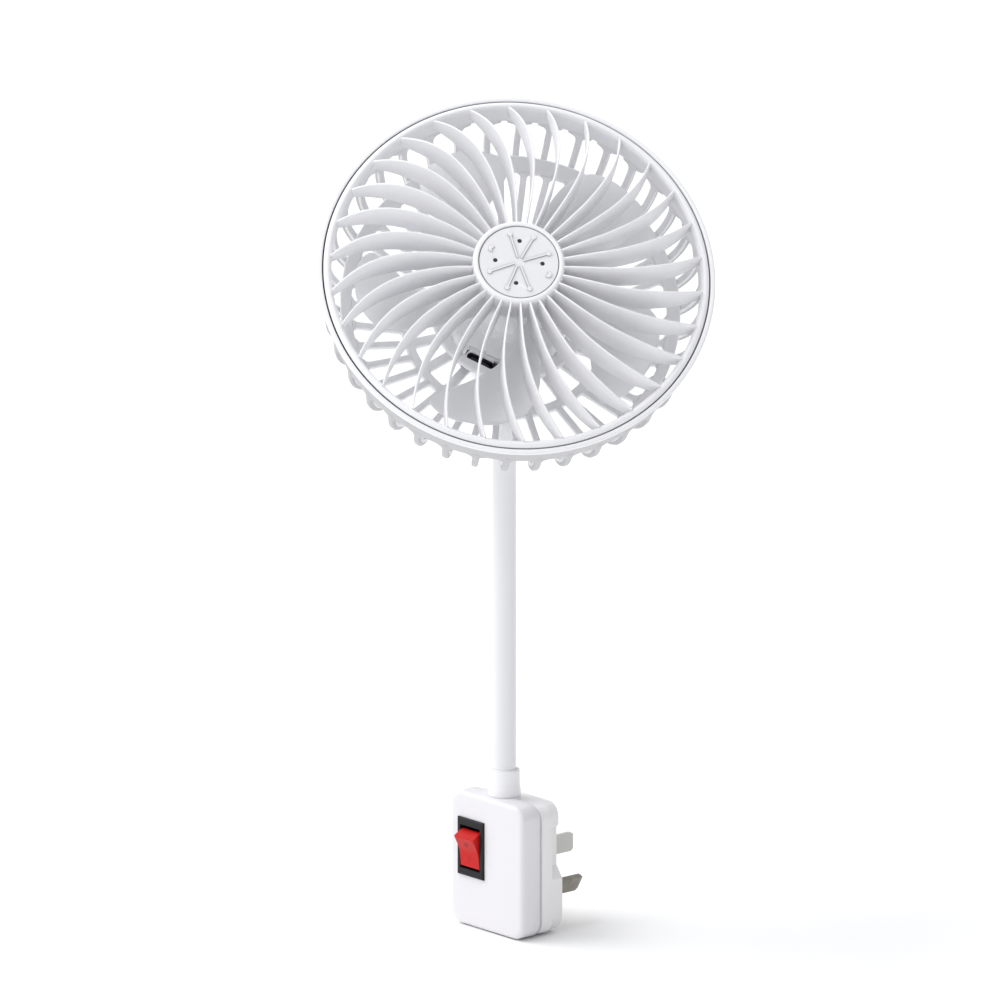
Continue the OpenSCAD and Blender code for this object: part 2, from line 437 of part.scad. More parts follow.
// ---------- switch
pv_y = -plug_d + 2.3;                  // rocker pivot
open_x = 9.8; open_z = 14.6;
module at_sw() translate([sw_x, 0, sw_z]) children();
module switch_frame() color("black") at_sw() difference() {
  union() {
    // bezel and body
    hull() { bx([-6.4, -plug_d - 0.5, -9.7], [6.4, -plug_d - 0.02, 9.7]); bx([-6.05, -plug_d - 0.85, -9.35], [6.05, -plug_d - 0.5, 9.35]); }
    bx([-6.0, -plug_d - 0.02, -8.9], [6.0, -8.9, 8.9]);
  }
  bx([-open_x/2, -plug_d - 3, -open_z/2], [open_x/2, -10.6, open_z/2]);
  translate([-5.75, pv_y, 0]) rotate([0, 90, 0]) cylinder(r = 1.0, h = 11.5);
}
module rocker2d() polygon(concat([[-1.8, -4.2], [0.2, -6.2], [1.4, -6.3], [4.5, -5.5], [4.65, -5.3]], // side view, level: x forward, y up
  [for (t = [-4.4:1.1:4.4]) [3.58 + 0.2*sqrt(t*t + 0.8), t]],
  [[4.65, 5.3], [4.5, 5.5], [1.4, 6.3], [0.2, 6.2], [-1.8, 4.2]]));
module switch_rocker() color("red") at_sw() translate([0, pv_y, 0]) rotate([rock, 0, 0]) {
  translate([4.6, 0, 0]) rotate([90, 0, -90]) linear_extrude(9.2) rocker2d();
  translate([-5.6, 0, 0]) rotate([0, 90, 0]) cylinder(r = 0.95, h = 11.2);
}
module switch_spring() color("silver") at_sw() translate([0, -13.2, 0]) rotate([-90, 0, 0]) tube(0.9, 0.5, 1.9);
module switch_lever() color("goldenrod") at_sw() difference() { bx([-2, -11.25, -5.5], [2, -10.65, 5.5]); }
module switch_terminals() color("goldenrod") at_sw() for (z = [-6, 0, 6]) bx([-2.2, -8.9, z - 0.4], [2.2, -4.6, z + 0.4]);

// ---------- power supply
module power_board() color("seagreen") bx([-0.9, -4.4, -19], [12.3, -3.2, 14]);
module transformer() color("goldenrod") { bx([1.2, -12.6, -7.5], [11.8, -4.45, -6.1]); bx([1.2, -12.6, 2.1], [11.8, -4.45, 3.5]); translate([6.5, 0, -6.1]) bx([-3.4, -12.0, 0], [3.4, -5.0, 8.2]); }
module smoothing_capacitors() color("darkslateblue") for (p = [[3.2, 9.5, 3], [9.6, 9.5, 2.6], [3.2, -14.5, 3.4]]) translate([p[0], -4.45, p[1]]) rotate([90, 0, 0]) cylinder(r = p[2], h = 8.4);
module rectifier() color("black") bx([8.2, -7.2, -17], [11.8, -4.45, -10]);
module fuse() color("tan") translate([-12.5, -6.2, -10.5]) rotate([0, 90, 0]) { cylinder(r = 1.7, h = 10.4, $fn = 32); }

// ---------- pins
// place of a pin: s = 0 is the earth pin, -1 and 1 are the lower pins, which lean outward at the top
module at_pin(s) translate([s*pin_circle*sin(60), 0, s == 0 ? earth_z : earth_z - pin_circle*1.5]) rotate([0, 30*s, 0]) children();
module pin_bar(l, c) { // flat blade with a bevelled tip, root inside the shell
  bx([-pin_t/2, -3.0, -pin_w/2], [pin_t/2, l - c, pin_w/2]);
  hull() { bx([-pin_t/2, l - c - e, -pin_w/2], [pin_t/2, l - c, pin_w/2]); bx([-pin_t/2 + 0.35, l - e, -pin_w/2 + c*0.6], [pin_t/2 - 0.35, l, pin_w/2 - c*0.6]); }
}
module live_pin() color("darkkhaki") at_pin(1) pin_bar(pin_l, 1.2);
module neutral_pin() color("darkkhaki") at_pin(-1) pin_bar(pin_l, 1.2);
module earth_pin() color("darkgray") at_pin(0) pin_bar(earth_l, 1.2);

front_grille();
hub_cap();
rear_casing();
back_grille();
motor_housing();
pod_cover();
impeller();
motor_shaft();
rotor_core();
rotor_windings();
commutator();
motor_can();
motor_magnets();
motor_end_cap();
motor_bush_front();
motor_bush_rear();
motor_brushes();
motor_board();
lead_socket();
motor_screws();
pod_screws();
neck_ferrule();
head_lead();
neck_sleeve_0();
neck_sleeve_1();
neck_sleeve_2();
neck_sleeve_3();
neck_sleeve_4();
neck_sleeve_5();
neck_sleeve_6();
neck_core_0();
neck_core_1();
neck_core_2();
neck_core_3();
neck_core_4();
neck_core_5();
neck_core_6();
neck_collar();
collar_nut();
plug_lead();
front_shell();
rear_shell();
shell_screws();
switch_frame();
switch_rocker();
switch_lever();
switch_spring();
switch_terminals();
power_board();
transformer();
smoothing_capacitors();
rectifier();
fuse();
live_pin();
neutral_pin();
earth_pin();
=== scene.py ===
import bpy, bmesh, json, random
from math import radians, degrees, sin, cos, pi, sqrt, atan2, acos, hypot
from mathutils import Vector, Matrix


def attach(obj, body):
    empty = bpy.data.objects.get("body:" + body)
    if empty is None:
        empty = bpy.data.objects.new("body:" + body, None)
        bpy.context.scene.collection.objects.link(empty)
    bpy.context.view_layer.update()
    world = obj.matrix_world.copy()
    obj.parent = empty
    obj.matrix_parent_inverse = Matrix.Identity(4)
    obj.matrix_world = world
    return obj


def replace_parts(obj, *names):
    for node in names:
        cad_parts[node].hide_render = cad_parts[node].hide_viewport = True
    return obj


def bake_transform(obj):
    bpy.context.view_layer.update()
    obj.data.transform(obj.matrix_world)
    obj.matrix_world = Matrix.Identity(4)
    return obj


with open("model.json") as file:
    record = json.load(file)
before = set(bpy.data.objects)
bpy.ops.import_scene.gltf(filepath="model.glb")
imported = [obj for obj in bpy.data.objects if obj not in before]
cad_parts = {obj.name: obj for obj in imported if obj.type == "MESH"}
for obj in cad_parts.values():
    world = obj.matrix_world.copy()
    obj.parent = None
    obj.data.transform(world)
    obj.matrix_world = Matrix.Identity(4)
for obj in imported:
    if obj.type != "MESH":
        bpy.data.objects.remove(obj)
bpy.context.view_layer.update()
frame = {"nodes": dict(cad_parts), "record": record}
scene = bpy.context.scene
nodes = frame["nodes"]
MM = 0.001

# ------------------------------------------------------------------ the part's own measures, in mm
FRONT_D, REAR_D = 7.8, 10.0
PLUG_D = FRONT_D + REAR_D
PLUG_W, PLUG_H, PLUG_Z = 35.8, 45.0, -0.5
TOP_Z = PLUG_Z + PLUG_H / 2
SW_X, SW_Z, PV_Y, ROCK = -7.1, 3.8, -15.5, 16
STEM_Y, NECK_R, BORE_R = -9.9, 3.85, 2.95
HINGE = [46 + 15 * i for i in range(6)]
BEND_Z, BEND_R, FERR_L, POD_R, POD_IN = 140.308, 22.0, 4.3, 19.2, 41.185
SKY, YAW, ROLL, TURN = radians(48.5), radians(55.7), radians(14.2), radians(5.094)
HN = Vector((sin(SKY) * sin(YAW), -sin(SKY) * cos(YAW), cos(SKY)))
HX = Vector((cos(YAW), sin(YAW), 0))
HG = HN.cross(HX)
EN = HG * cos(TURN) + HX * sin(TURN)
BEND_A, BEND_AZ = acos(EN.z), atan2(EN.y, EN.x)
BH = Vector((cos(BEND_AZ), sin(BEND_AZ), 0))
NECK_END = Vector((0, STEM_Y, BEND_Z)) + Vector((0, 0, BEND_R * sin(BEND_A))) + BH * BEND_R * (1 - cos(BEND_A))
RIM = NECK_END + EN * (FERR_L + POD_R) + HN * POD_IN
E1 = HX * cos(ROLL) - HG * sin(ROLL)
E2 = HX * sin(ROLL) + HG * cos(ROLL)


def head(p):
    return RIM + E1 * p[0] + E2 * p[1] + HN * p[2]


# ------------------------------------------------------------------ mesh helpers
def soften(poly, r, n=4):
    """Closed 2D outline with its corners rounded."""
    out, m = [], len(poly)
    for i in range(m):
        p0, p1, p2 = Vector(poly[i - 1]), Vector(poly[i]), Vector(poly[(i + 1) % m])
        ri = r[i] if isinstance(r, (list, tuple)) else r
        a, b = p0 - p1, p2 - p1
        d = min(ri, a.length * 0.48, b.length * 0.48)
        if d < 1e-5 or p1[0] < 1e-6:
            out.append(tuple(p1)); continue
        q0, q2 = p1 + a.normalized() * d, p1 + b.normalized() * d
        for k in range(n + 1):
            t = k / n
            out.append(tuple(q0 * (1 - t) ** 2 + p1 * 2 * t * (1 - t) + q2 * t * t))
    return out


def spline(pts, sub=4):
    """Open Catmull-Rom line through 2D points."""
    P = [Vector(p) for p in pts]
    P = [P[0] * 2 - P[1]] + P + [P[-1] * 2 - P[-2]]
    out = []
    for i in range(1, len(P) - 2):
        for k in range(sub):
            t = k / sub
            out.append(0.5 * ((2 * P[i]) + (P[i + 1] - P[i - 1]) * t + (2 * P[i - 1] - 5 * P[i] + 4 * P[i + 1] - P[i + 2]) * t * t
                              + (3 * P[i] - P[i - 1] - 3 * P[i + 1] + P[i + 2]) * t ** 3))
    out.append(P[-2])
    return out


class Shape:
    def __init__(self, xf=None):
        self.v, self.f, self.m, self.xf, self.slot = [], [], [], xf or (lambda p: Vector(p)), 0

    def face(self, f):
        self.f.append(f); self.m.append(self.slot)

    def loft(self, rings, loop=False, caps=True):
        n, b, m = len(rings[0]), len(self.v), len(rings)
        for r in rings:
            self.v += [self.xf(p) * MM for p in r]
        for i in range(m if loop else m - 1):
            a, c = b + i * n, b + ((i + 1) % m) * n
            for j in range(n):
                k = (j + 1) % n
                self.face((a + j, a + k, c + k, c + j))
        if caps and not loop:
            self.face(tuple(range(b + n - 1, b - 1, -1)))
            self.face(tuple(range(b + (m - 1) * n, b + m * n)))
        return self

    def lathe(self, prof, seg=192, at=(0, 0), mat=None):
        """mat(p, q) gives the material number of the band between two outline points."""
        k0 = len(self.m)
        self.loft([[(at[0] + r * cos(2 * pi * i / seg), at[1] + r * sin(2 * pi * i / seg), z) for r, z in prof] for i in range(seg)], loop=True)
        if mat:
            n = len(prof)
            for i in range(seg):
                for j in range(n):
                    self.m[k0 + i * n + j] = mat(prof[j], prof[(j + 1) % n])
        return self

    def make(self, name, mats, body=None, stands_for=(), sharp=38, weld=False):
        me = bpy.data.meshes.new(name)
        me.from_pydata([tuple(v) for v in self.v], [], self.f)
        for p, k in zip(me.polygons, self.m):
            p.material_index = k
        bm = bmesh.new(); bm.from_mesh(me)
        if weld:
            bmesh.ops.remove_doubles(bm, verts=bm.verts, dist=1e-6)
            bmesh.ops.dissolve_degenerate(bm, dist=1e-7, edges=bm.edges)
        bmesh.ops.recalc_face_normals(bm, faces=bm.faces)
        bm.to_mesh(me); bm.free()
        me.validate()
        for m in mats if isinstance(mats, (list, tuple)) else [mats]:
            me.materials.append(m)
        me.shade_smooth()
        me.set_sharp_from_angle(angle=radians(sharp))
        o = bpy.data.objects.new(name, me)
        scene.collection.objects.link(o)
        if body:
            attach(o, body)
        if stands_for:
            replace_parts(o, *stands_for)
        return o


# ------------------------------------------------------------------ materials
def material(name, base, rough=0.4, metal=0.0, grain=0.03, grain_size=1400, blotch=0.03, wear=0.0, wear_col=None, streak=None, spec=0.5, dust=0.0, coat=0.0):
    m = bpy.data.materials.new(name)
    m.use_nodes = True
    t = m.node_tree; N = t.nodes; L = t.links
    b = N["Principled BSDF"]
    b.inputs["Metallic"].default_value = metal
    b.inputs["Specular IOR Level"].default_value = spec
    b.inputs["Coat Weight"].default_value = coat
    b.inputs["Coat Roughness"].default_value = 0.15
    co = N.new("ShaderNodeTexCoord")
    mp = N.new("ShaderNodeMapping"); L.new(co.outputs["Object"], mp.inputs["Vector"])
    mp.inputs["Scale"].default_value = streak or (1, 1, 1)
    mp.inputs["Rotation"].default_value = (0.31, 0.22, 0.57) if not streak else (0, 0, 0)
    big = N.new("ShaderNodeTexNoise"); L.new(co.outputs["Object"], big.inputs["Vector"])
    big.inputs["Scale"].default_value = 38; big.inputs["Detail"].default_value = 5; big.inputs["Roughness"].default_value = 0.6
    fine = N.new("ShaderNodeTexNoise"); L.new(mp.outputs["Vector"], fine.inputs["Vector"])
    fine.inputs["Scale"].default_value = grain_size; fine.inputs["Detail"].default_value = 3
    # tone: a slow change over the part
    ramp = N.new("ShaderNodeValToRGB"); L.new(big.outputs["Fac"], ramp.inputs["Fac"])
    dark = tuple(c * (1 - blotch) for c in base); light = tuple(min(1, c * (1 + blotch * 0.6)) for c in base)
    ramp.color_ramp.elements[0].position = 0.3; ramp.color_ramp.elements[0].color = (*dark, 1)
    ramp.color_ramp.elements[1].position = 0.7; ramp.color_ramp.elements[1].color = (*light, 1)
    tone = ramp.outputs["Color"]
    if wear > 0 or dust > 0:
        geo = N.new("ShaderNodeNewGeometry")
        spots = N.new("ShaderNodeTexNoise"); L.new(co.outputs["Object"], spots.inputs["Vector"])
        spots.inputs["Scale"].default_value = 260; spots.inputs["Detail"].default_value = 6; spots.inputs["Roughness"].default_value = 0.7
        edge = N.new("ShaderNodeMapRange"); L.new(geo.outputs["Pointiness"], edge.inputs["Value"])
        edge.inputs["From Min"].default_value = 0.52; edge.inputs["From Max"].default_value = 0.66
        cut = N.new("ShaderNodeMapRange"); L.new(spots.outputs["Fac"], cut.inputs["Value"])
        cut.inputs["From Min"].default_value = 0.45; cut.inputs["From Max"].default_value = 0.62; cut.inputs["To Max"].default_value = wear + dust
        mul = N.new("ShaderNodeMath"); mul.operation = "MULTIPLY"; L.new(edge.outputs["Result"], mul.inputs[0]); L.new(cut.outputs["Result"], mul.inputs[1])
        mix = N.new("ShaderNodeMix"); mix.data_type = "RGBA"; L.new(mul.outputs["Value"], mix.inputs["Factor"])
        L.new(tone, mix.inputs["A"]); mix.inputs["B"].default_value = (*(wear_col or tuple(min(1, c * 1.15 + 0.02) for c in base)), 1)
        tone = mix.outputs["Result"]
    L.new(tone, b.inputs["Base Color"])
    # gloss: varied by the same slow noise
    rr = N.new("ShaderNodeMapRange"); L.new(big.outputs["Fac"], rr.inputs["Value"])
    rr.inputs["From Min"].default_value = 0.3; rr.inputs["From Max"].default_value = 0.7
    rr.inputs["To Min"].default_value = max(0.05, rough - 0.06); rr.inputs["To Max"].default_value = min(1, rough + 0.07)
    L.new(rr.outputs["Result"], b.inputs["Roughness"])
    bump = N.new("ShaderNodeBump"); bump.inputs["Strength"].default_value = grain * 6; bump.inputs["Distance"].default_value = 0.00002
    L.new(fine.outputs["Fac"], bump.inputs["Height"]); L.new(bump.outputs["Normal"], b.inputs["Normal"])
    return m


WHITE = (0.90, 0.90, 0.92)
white = material("white_plastic", WHITE, rough=0.36, blotch=0.018, grain=0.02)
# painted shade: the casing's outer wall and ribs get a darker grey that stands in for the shadow under the lip
casing_shade_paint = material("casing_painted_shade", (0.52, 0.52, 0.53), rough=0.45, blotch=0.03, grain=0.03)
bar_white = material("bar_plastic", (0.88, 0.88, 0.895), rough=0.45, blotch=0.03, grain=0.03)
plate_white = material("plate_plastic", (0.88, 0.88, 0.90), rough=0.42, blotch=0.02, grain=0.03)
# painted shade: the front shell's white is set darker than the rear shell's, standing in for the shade on its side
shell_front_shade = material("shell_plastic", (0.775, 0.765, 0.79), rough=0.34, blotch=0.018, grain=0.025)
shell_rear_white = material("shell_plastic_rear", (0.84, 0.83, 0.835), rough=0.38, blotch=0.02, grain=0.03)
blade_white = material("blade_plastic", (0.91, 0.915, 0.93), rough=0.45, blotch=0.02)
cap_white_ao_shade = material("cap_plastic", (0.82, 0.82, 0.85), rough=0.42, blotch=0.02, wear=0.1)
vinyl = material("sleeve_vinyl", (0.82, 0.82, 0.84), rough=0.4, blotch=0.015, grain=0.04, grain_size=900)
seam_dark = material("seam_shadow", (0.05, 0.05, 0.055), rough=0.8, blotch=0.2)
SN, SL = seam_dark.node_tree.nodes, seam_dark.node_tree.links
s_co = SN.new("ShaderNodeTexCoord")
s_dot = SN.new("ShaderNodeVectorMath"); s_dot.operation = "DOT_PRODUCT"; SL.new(s_co.outputs["Object"], s_dot.inputs[0])
s_dir = (-HX * 0.93 + HG * 0.37)
s_dot.inputs[1].default_value = tuple(s_dir)
s_map = SN.new("ShaderNodeMapRange"); SL.new(s_dot.outputs["Value"], s_map.inputs["Value"])
s_mid = (RIM * MM).dot(s_dir)
s_map.inputs["From Min"].default_value = s_mid - 0.010; s_map.inputs["From Max"].default_value = s_mid + 0.050
s_mix = SN.new("ShaderNodeMix"); s_mix.data_type = "RGBA"; SL.new(s_map.outputs["Result"], s_mix.inputs["Factor"])
s_mix.inputs["A"].default_value = (0.62, 0.62, 0.63, 1)
SL.new(SN["Principled BSDF"].inputs["Base Color"].links[0].from_socket, s_mix.inputs["B"])
SL.new(s_mix.outputs["Result"], SN["Principled BSDF"].inputs["Base Color"])
red = material("red_plastic", (0.56, 0.012, 0.010), rough=0.36, blotch=0.05, coat=0.03, wear=0.05, spec=0.16)
red_mark = material("switch_mark", (0.06, 0.01, 0.012), rough=0.5, blotch=0.1)
bezel = material("bezel_plastic", (0.013, 0.013, 0.015), rough=0.5, blotch=0.12, grain=0.05, wear=0.12, wear_col=(0.06, 0.06, 0.065), spec=0.25)
black = material("black_plastic", (0.03, 0.03, 0.033), rough=0.5, blotch=0.15)
rubber = material("lead_rubber", (0.03, 0.03, 0.03), rough=0.75, blotch=0.2, grain=0.08)
steel = material("steel", (0.62, 0.62, 0.62), rough=0.3, metal=1, blotch=0.06, streak=(1, 1, 0.05), grain=0.05, wear=0.2)
nickel = material("nickel_steel", (0.66, 0.65, 0.62), rough=0.28, metal=1, blotch=0.06, streak=(0.05, 1, 1), grain=0.05, wear=0.2)
lamination = material("lamination", (0.30, 0.30, 0.31), rough=0.5, metal=1, blotch=0.1, streak=(0.1, 0.1, 3), grain=0.2)
ferrite = material("ferrite", (0.09, 0.09, 0.10), rough=0.7, blotch=0.15, grain=0.1)
copper = material("copper", (0.62, 0.28, 0.13), rough=0.35, metal=1, blotch=0.1, streak=(1, 1, 12), grain=0.3, grain_size=300)
brass = material("brass", (0.72, 0.56, 0.24), rough=0.3, metal=1, blotch=0.08, wear=0.2)
bronze = material("bronze", (0.55, 0.40, 0.20), rough=0.5, metal=1, blotch=0.12, grain=0.12)
board = material("board_green", (0.05, 0.25, 0.10), rough=0.45, blotch=0.1, grain=0.08)
tape = material("tape_yellow", (0.80, 0.65, 0.12), rough=0.4, blotch=0.06)
cap_sleeve = material("capacitor_sleeve", (0.07, 0.08, 0.20), rough=0.3, blotch=0.08)
ceramic = material("ceramic", (0.72, 0.66, 0.52), rough=0.6, blotch=0.08, grain=0.08)
# painted shade: the live and neutral pins' metal is darkened to stand in for the dark reflection on their slanted
# blades, with paler edge wear
pin_shade_dark = material("pin_metal", (0.25, 0.24, 0.20), rough=0.42, metal=0.75, blotch=0.18, streak=(1, 0.08, 1), grain=0.08, wear=0.6, wear_col=(0.55, 0.54, 0.48))
pin_pale = material("earth_metal", (0.56, 0.565, 0.535), rough=0.42, metal=0.55, blotch=0.1, streak=(1, 0.08, 1), grain=0.08, wear=0.5, wear_col=(0.7, 0.7, 0.66))
# painted shade: the cap's white is darkened by ambient occlusion in the creases at the foot of its relief
CN, CL = cap_white_ao_shade.node_tree.nodes, cap_white_ao_shade.node_tree.links
ao = CN.new("ShaderNodeAmbientOcclusion"); ao.inputs["Distance"].default_value = 0.0009; ao.samples = 8
a_map = CN.new("ShaderNodeMapRange"); CL.new(ao.outputs["AO"], a_map.inputs["Value"])
a_map.inputs["From Min"].default_value = 0.45; a_map.inputs["From Max"].default_value = 0.95
a_mix = CN.new("ShaderNodeMix"); a_mix.data_type = "RGBA"; CL.new(a_map.outputs["Result"], a_mix.inputs["Factor"])
a_mix.inputs["A"].default_value = (0.22, 0.22, 0.23, 1)
CL.new(CN["Principled BSDF"].inputs["Base Color"].links[0].from_socket, a_mix.inputs["B"])
CL.new(a_mix.outputs["Result"], CN["Principled BSDF"].inputs["Base Color"])
SLOTS = {"white_plastic": white, "shell_plastic": shell_rear_white, "cap_plastic": cap_white_ao_shade, "blade_plastic": blade_white, "sleeve_vinyl": vinyl, "red_plastic": red,
         "bezel_plastic": bezel, "black_plastic": black, "lead_rubber": rubber, "steel": steel, "nickel_steel": nickel, "lamination": lamination, "ferrite": ferrite,
         "copper": copper, "brass": brass, "bronze": bronze, "board_green": board, "tape_yellow": tape, "capacitor_sleeve": cap_sleeve, "ceramic": ceramic,
         "pin_metal": pin_shade_dark, "earth_metal": pin_pale}

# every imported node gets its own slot's finish, and its edges are broken a little
slot_of = {s["node"]: s["material_slot"] for s in frame["record"]["subparts"]}
BEVEL = {"rear_shell": 0.55, "switch_frame": 0.35, "switch_rocker": 0.4, "neck_collar": 0.3, "neck_ferrule": 0.2, "hub_cap": 0.14, "motor_housing": 0.25, "pod_cover": 0.3,
         "live_pin": 0.15, "neutral_pin": 0.15, "earth_pin": 0.15, "lead_socket": 0.15, "pod_screws": 0.1, "shell_screws": 0.1, "motor_can": 0.2}
for n, o in nodes.items():
    me = o.data
    me.materials.clear()
    me.materials.append(SLOTS[slot_of[n]] if n != "motor_housing" else plate_white)
    me.shade_smooth()
    if "custom_normal" in me.attributes:
        me.attributes.remove(me.attributes["custom_normal"])
    w = o.modifiers.new("weld", "WELD"); w.merge_threshold = 1e-6
    b = o.modifiers.new("edges", "BEVEL"); b.width = BEVEL.get(n, 0.08) * MM; b.segments = 3 if BEVEL.get(n, 0) >= 0.3 else 2
    b.limit_method = "ANGLE"; b.angle_limit = radians(34); b.use_clamp_overlap = True
    wn = o.modifiers.new("normals", "WEIGHTED_NORMAL"); wn.keep_sharp = True; wn.weight = 60


# ------------------------------------------------------------------ front grille
def dome(r):
    return 10.7 - 9.6 * max(0, (r - 28) / 33) ** 3 - 0.009 * min(0, r - 28) ** 2


def vane_a(r):
    return radians(78.05 + 12.15 * ((r - 20) / 41) ** 2)


def vane_low(r):
    return -1.6 if r < 30 else -1.6 - 2.4 * (r - 30) / 31.5


g = Shape(head)
NST = 34
for k in range(30):
    rings = []
    for i in range(NST + 1):
        r = 13.7 + (60.75 - 13.7) * i / NST
        a = vane_a(r); d = 0.1
        p, q = Vector((r * cos(a), r * sin(a))), Vector(((r + d) * cos(vane_a(r + d)), (r + d) * sin(vane_a(r + d))))
        t = (q - p).normalized(); nv = Vector((-t.y, t.x))
        lo, hi = vane_low(r), dome(min(r, 61))
        ht, hm, hb = 0.30, 0.44, 0.36
        sec = [(hb * cos(f), lo + hb + hb * sin(f)) for f in (pi, 1.25 * pi, 1.5 * pi, 1.75 * pi, 2 * pi)]
        sec += [(hm, lo * 0.55 + hi * 0.45)]
        sec += [(ht * cos(f), hi - ht + ht * sin(f)) for f in (0, 0.2 * pi, 0.4 * pi, 0.6 * pi, 0.8 * pi, pi)]
        sec += [(-hm, lo * 0.55 + hi * 0.45)]
        ring = []
        for s, z in sec:
            x = p + nv * s
            c, sn = cos(2 * pi * k / 30), sin(2 * pi * k / 30)
            ring.append((x.x * c - x.y * sn, x.x * sn + x.y * c, z))
        rings.append(ring)
    g.loft(rings)
# outer ring with its skirt; the flank that faces the seam is in deep shade
ring_prof = soften([(60.2, -7.4), (61.2, -7.4), (61.2, -3.2), (62.95, -3.2), (62.95, 0.15), (62.1, 0.85), (61.2, 0.8), (60.25, -0.3)], [0.2, 0.2, 0.1, 0.1, 0.4, 0.5, 0.5, 0.5], 4)
g.lathe(ring_prof, 240, mat=lambda p, q: int(min(p[0], q[0]) > 62.9 and max(p[1], q[1]) < -0.1))
boss = soften([(13.0, -1.8), (15.1, -1.8), (15.1, 8.5), (14.55, 9.45), (13.45, 9.45), (13.2, 9.2), (13.2, 7.35), (0, 7.35), (0, 5.75), (13.0, 5.75)],
              [0.2, 0.2, 0.6, 0.5, 0.3, 0.2, 0.05, 0, 0, 0.1], 4)
g.lathe(boss, 128)
grille = g.make("grille_front", [white, seam_dark], "head", ["front_grille"], sharp=40, weld=True)

# ------------------------------------------------------------------ rear casing
RIBS, BARS = 38, 42


def lip_mat(p, q):
    """Gap flank in the dark painted seam shadow, the lip itself as white as the grille, the wall under it in the
    casing's darker grey, which is painted shade.
    """
    if max(p[0], q[0]) < 63.45 and min(p[0], q[0]) > 61.3 and max(p[1], q[1]) < -0.35 and min(p[1], q[1]) > -3.5:
        return 1
    if min(p[1], q[1]) > -1.95:
        return 2
    return 3 if max(p[0], q[0]) < 61.9 else 0


c = Shape(head)
lip = soften([(63.35, -0.3), (63.6, 0.1), (64.65, 0.05), (65.0, -0.35), (65.0, -1.2), (64.6, -1.6), (63.6, -2.1), (63.4, -3.2), (62.70, -10.2), (61.3, -10.2), (61.45, -3.3), (63.35, -3.3)],
             [0.15, 0.25, 0.3, 0.3, 0.3, 0.3, 0.4, 0.8, 0.35, 0.35, 0.1, 0.05], 4)
c.lathe(lip, 240, mat=lip_mat)
c.lathe(soften([(51.6, -26.5), (55.2, -22.9), (55.8, -23.4), (55.0, -24.8), (52.4, -28.1), (51.6, -28.3)], [0.5, 0.4, 0.4, 1.0, 1.0, 0.4], 4), 192, mat=lambda p, q: 3)


def flare(x, r=1.9):
    """Extra half width of a rib x mm from the end of its opening."""
    return 0 if x >= r else r - sqrt(max(0, r * r - (r - max(x, 0)) ** 2))


out_l = spline([(62.75, -7.4), (63.0, -9.3), (62.6, -13), (61.9, -17.5), (60.4, -22), (58.2, -25.8), (55.6, -28.45), (52.0, -28.4)], 5)
in_l = spline([(61.75, -7.4), (60.9, -9.3), (60.2, -12), (59.3, -16.6), (57.9, -20.7), (55.8, -24.0), (53.9, -26.3), (52.0, -27.2)], 5)
mid = [(a + b) / 2 for a, b in zip(out_l, in_l)]
dist = [0]
for i in range(1, len(mid)):
    dist.append(dist[-1] + (mid[i] - mid[i - 1]).length)
z_end = next(i for i in range(len(mid)) if mid[i][1] < -10.1)
for k in range(RIBS):
    th = radians(3.14 + 360 * k / RIBS)
    u, v = (cos(th), sin(th)), (-sin(th), cos(th))
    rings = []
    for i, (o, q) in enumerate(zip(out_l, in_l)):
        fl = flare(dist[i] - dist[z_end], 3.0)
        sec = [(0.0, 0.62), (0.07, 0.88), (0.2, 1.02 + fl * 0.7), (0.55, 1.08 + fl), (0.85, 1.1 + fl), (0.96, 1.0 + fl), (1.0, 0.7 + fl)]
        ring = []
        for f, s in sec:
            p = o * (1 - f) + q * f
            ring.append((p[0] * u[0] + s * v[0], p[0] * u[1] + s * v[1], p[1]))
        for f, s in reversed(sec):
            p = o * (1 - f) + q * f
            ring.append((p[0] * u[0] - s * v[0], p[0] * u[1] - s * v[1], p[1]))
        rings.append(ring)
    k0 = len(c.m)
    c.loft(rings)
    fs = [f for f, _ in sec] + [f for f, _ in reversed(sec)]
    # the ribs' inner halves take the pale bar tone, their outer halves the grey painted shade
    for i in range(len(rings) - 1):
        for j in range(14):
            if fs[j] + fs[(j + 1) % 14] > 1.2:
                c.m[k0 + i * 14 + j] = 3
casing = c.make("casing_rear", [casing_shade_paint, seam_dark, white, bar_white], "head", ["rear_casing"], sharp=42)


def bar(shape, th, ra, za, rb, zb, w, h, fa=1.6, fb=1.6, n=22):
    """Straight bar from (ra, za) to (rb, zb), with flared ends that round the openings between bars."""
    u, v = (cos(th), sin(th)), (-sin(th), cos(th))
    L = hypot(rb - ra, zb - za); rings = []
    e = (za - zb) / L, (rb - ra) / L      # across the bar in the r-z plane
    for i in range(n + 1):
        t = i / n
        t = t * t * (3 - 2 * t)
        x = t * L
        fl = max(flare(x - 0.4, fa), flare(L - x - 0.4, fb))
        r, z = ra + (rb - ra) * t, za + (zb - za) * t
        hw, c1, c2 = w / 2 + fl, 0.3, 0.3
        sec = [(-hw + c1, -h / 2), (hw - c1, -h / 2), (hw - 0.08, -h / 2 + 0.08), (hw, -h / 2 + c2), (hw, h / 2 - c2), (hw - 0.08, h / 2 - 0.08), (hw - c1, h / 2),
               (-hw + c1, h / 2), (-hw + 0.08, h / 2 - 0.08), (-hw, h / 2 - c2), (-hw, -h / 2 + c2), (-hw + 0.08, -h / 2 + 0.08)]
        rings.append([((r + e[0] * y) * u[0] + s * v[0], (r + e[0] * y) * u[1] + s * v[1], z + e[1] * y) for s, y in sec])
    shape.loft(rings)


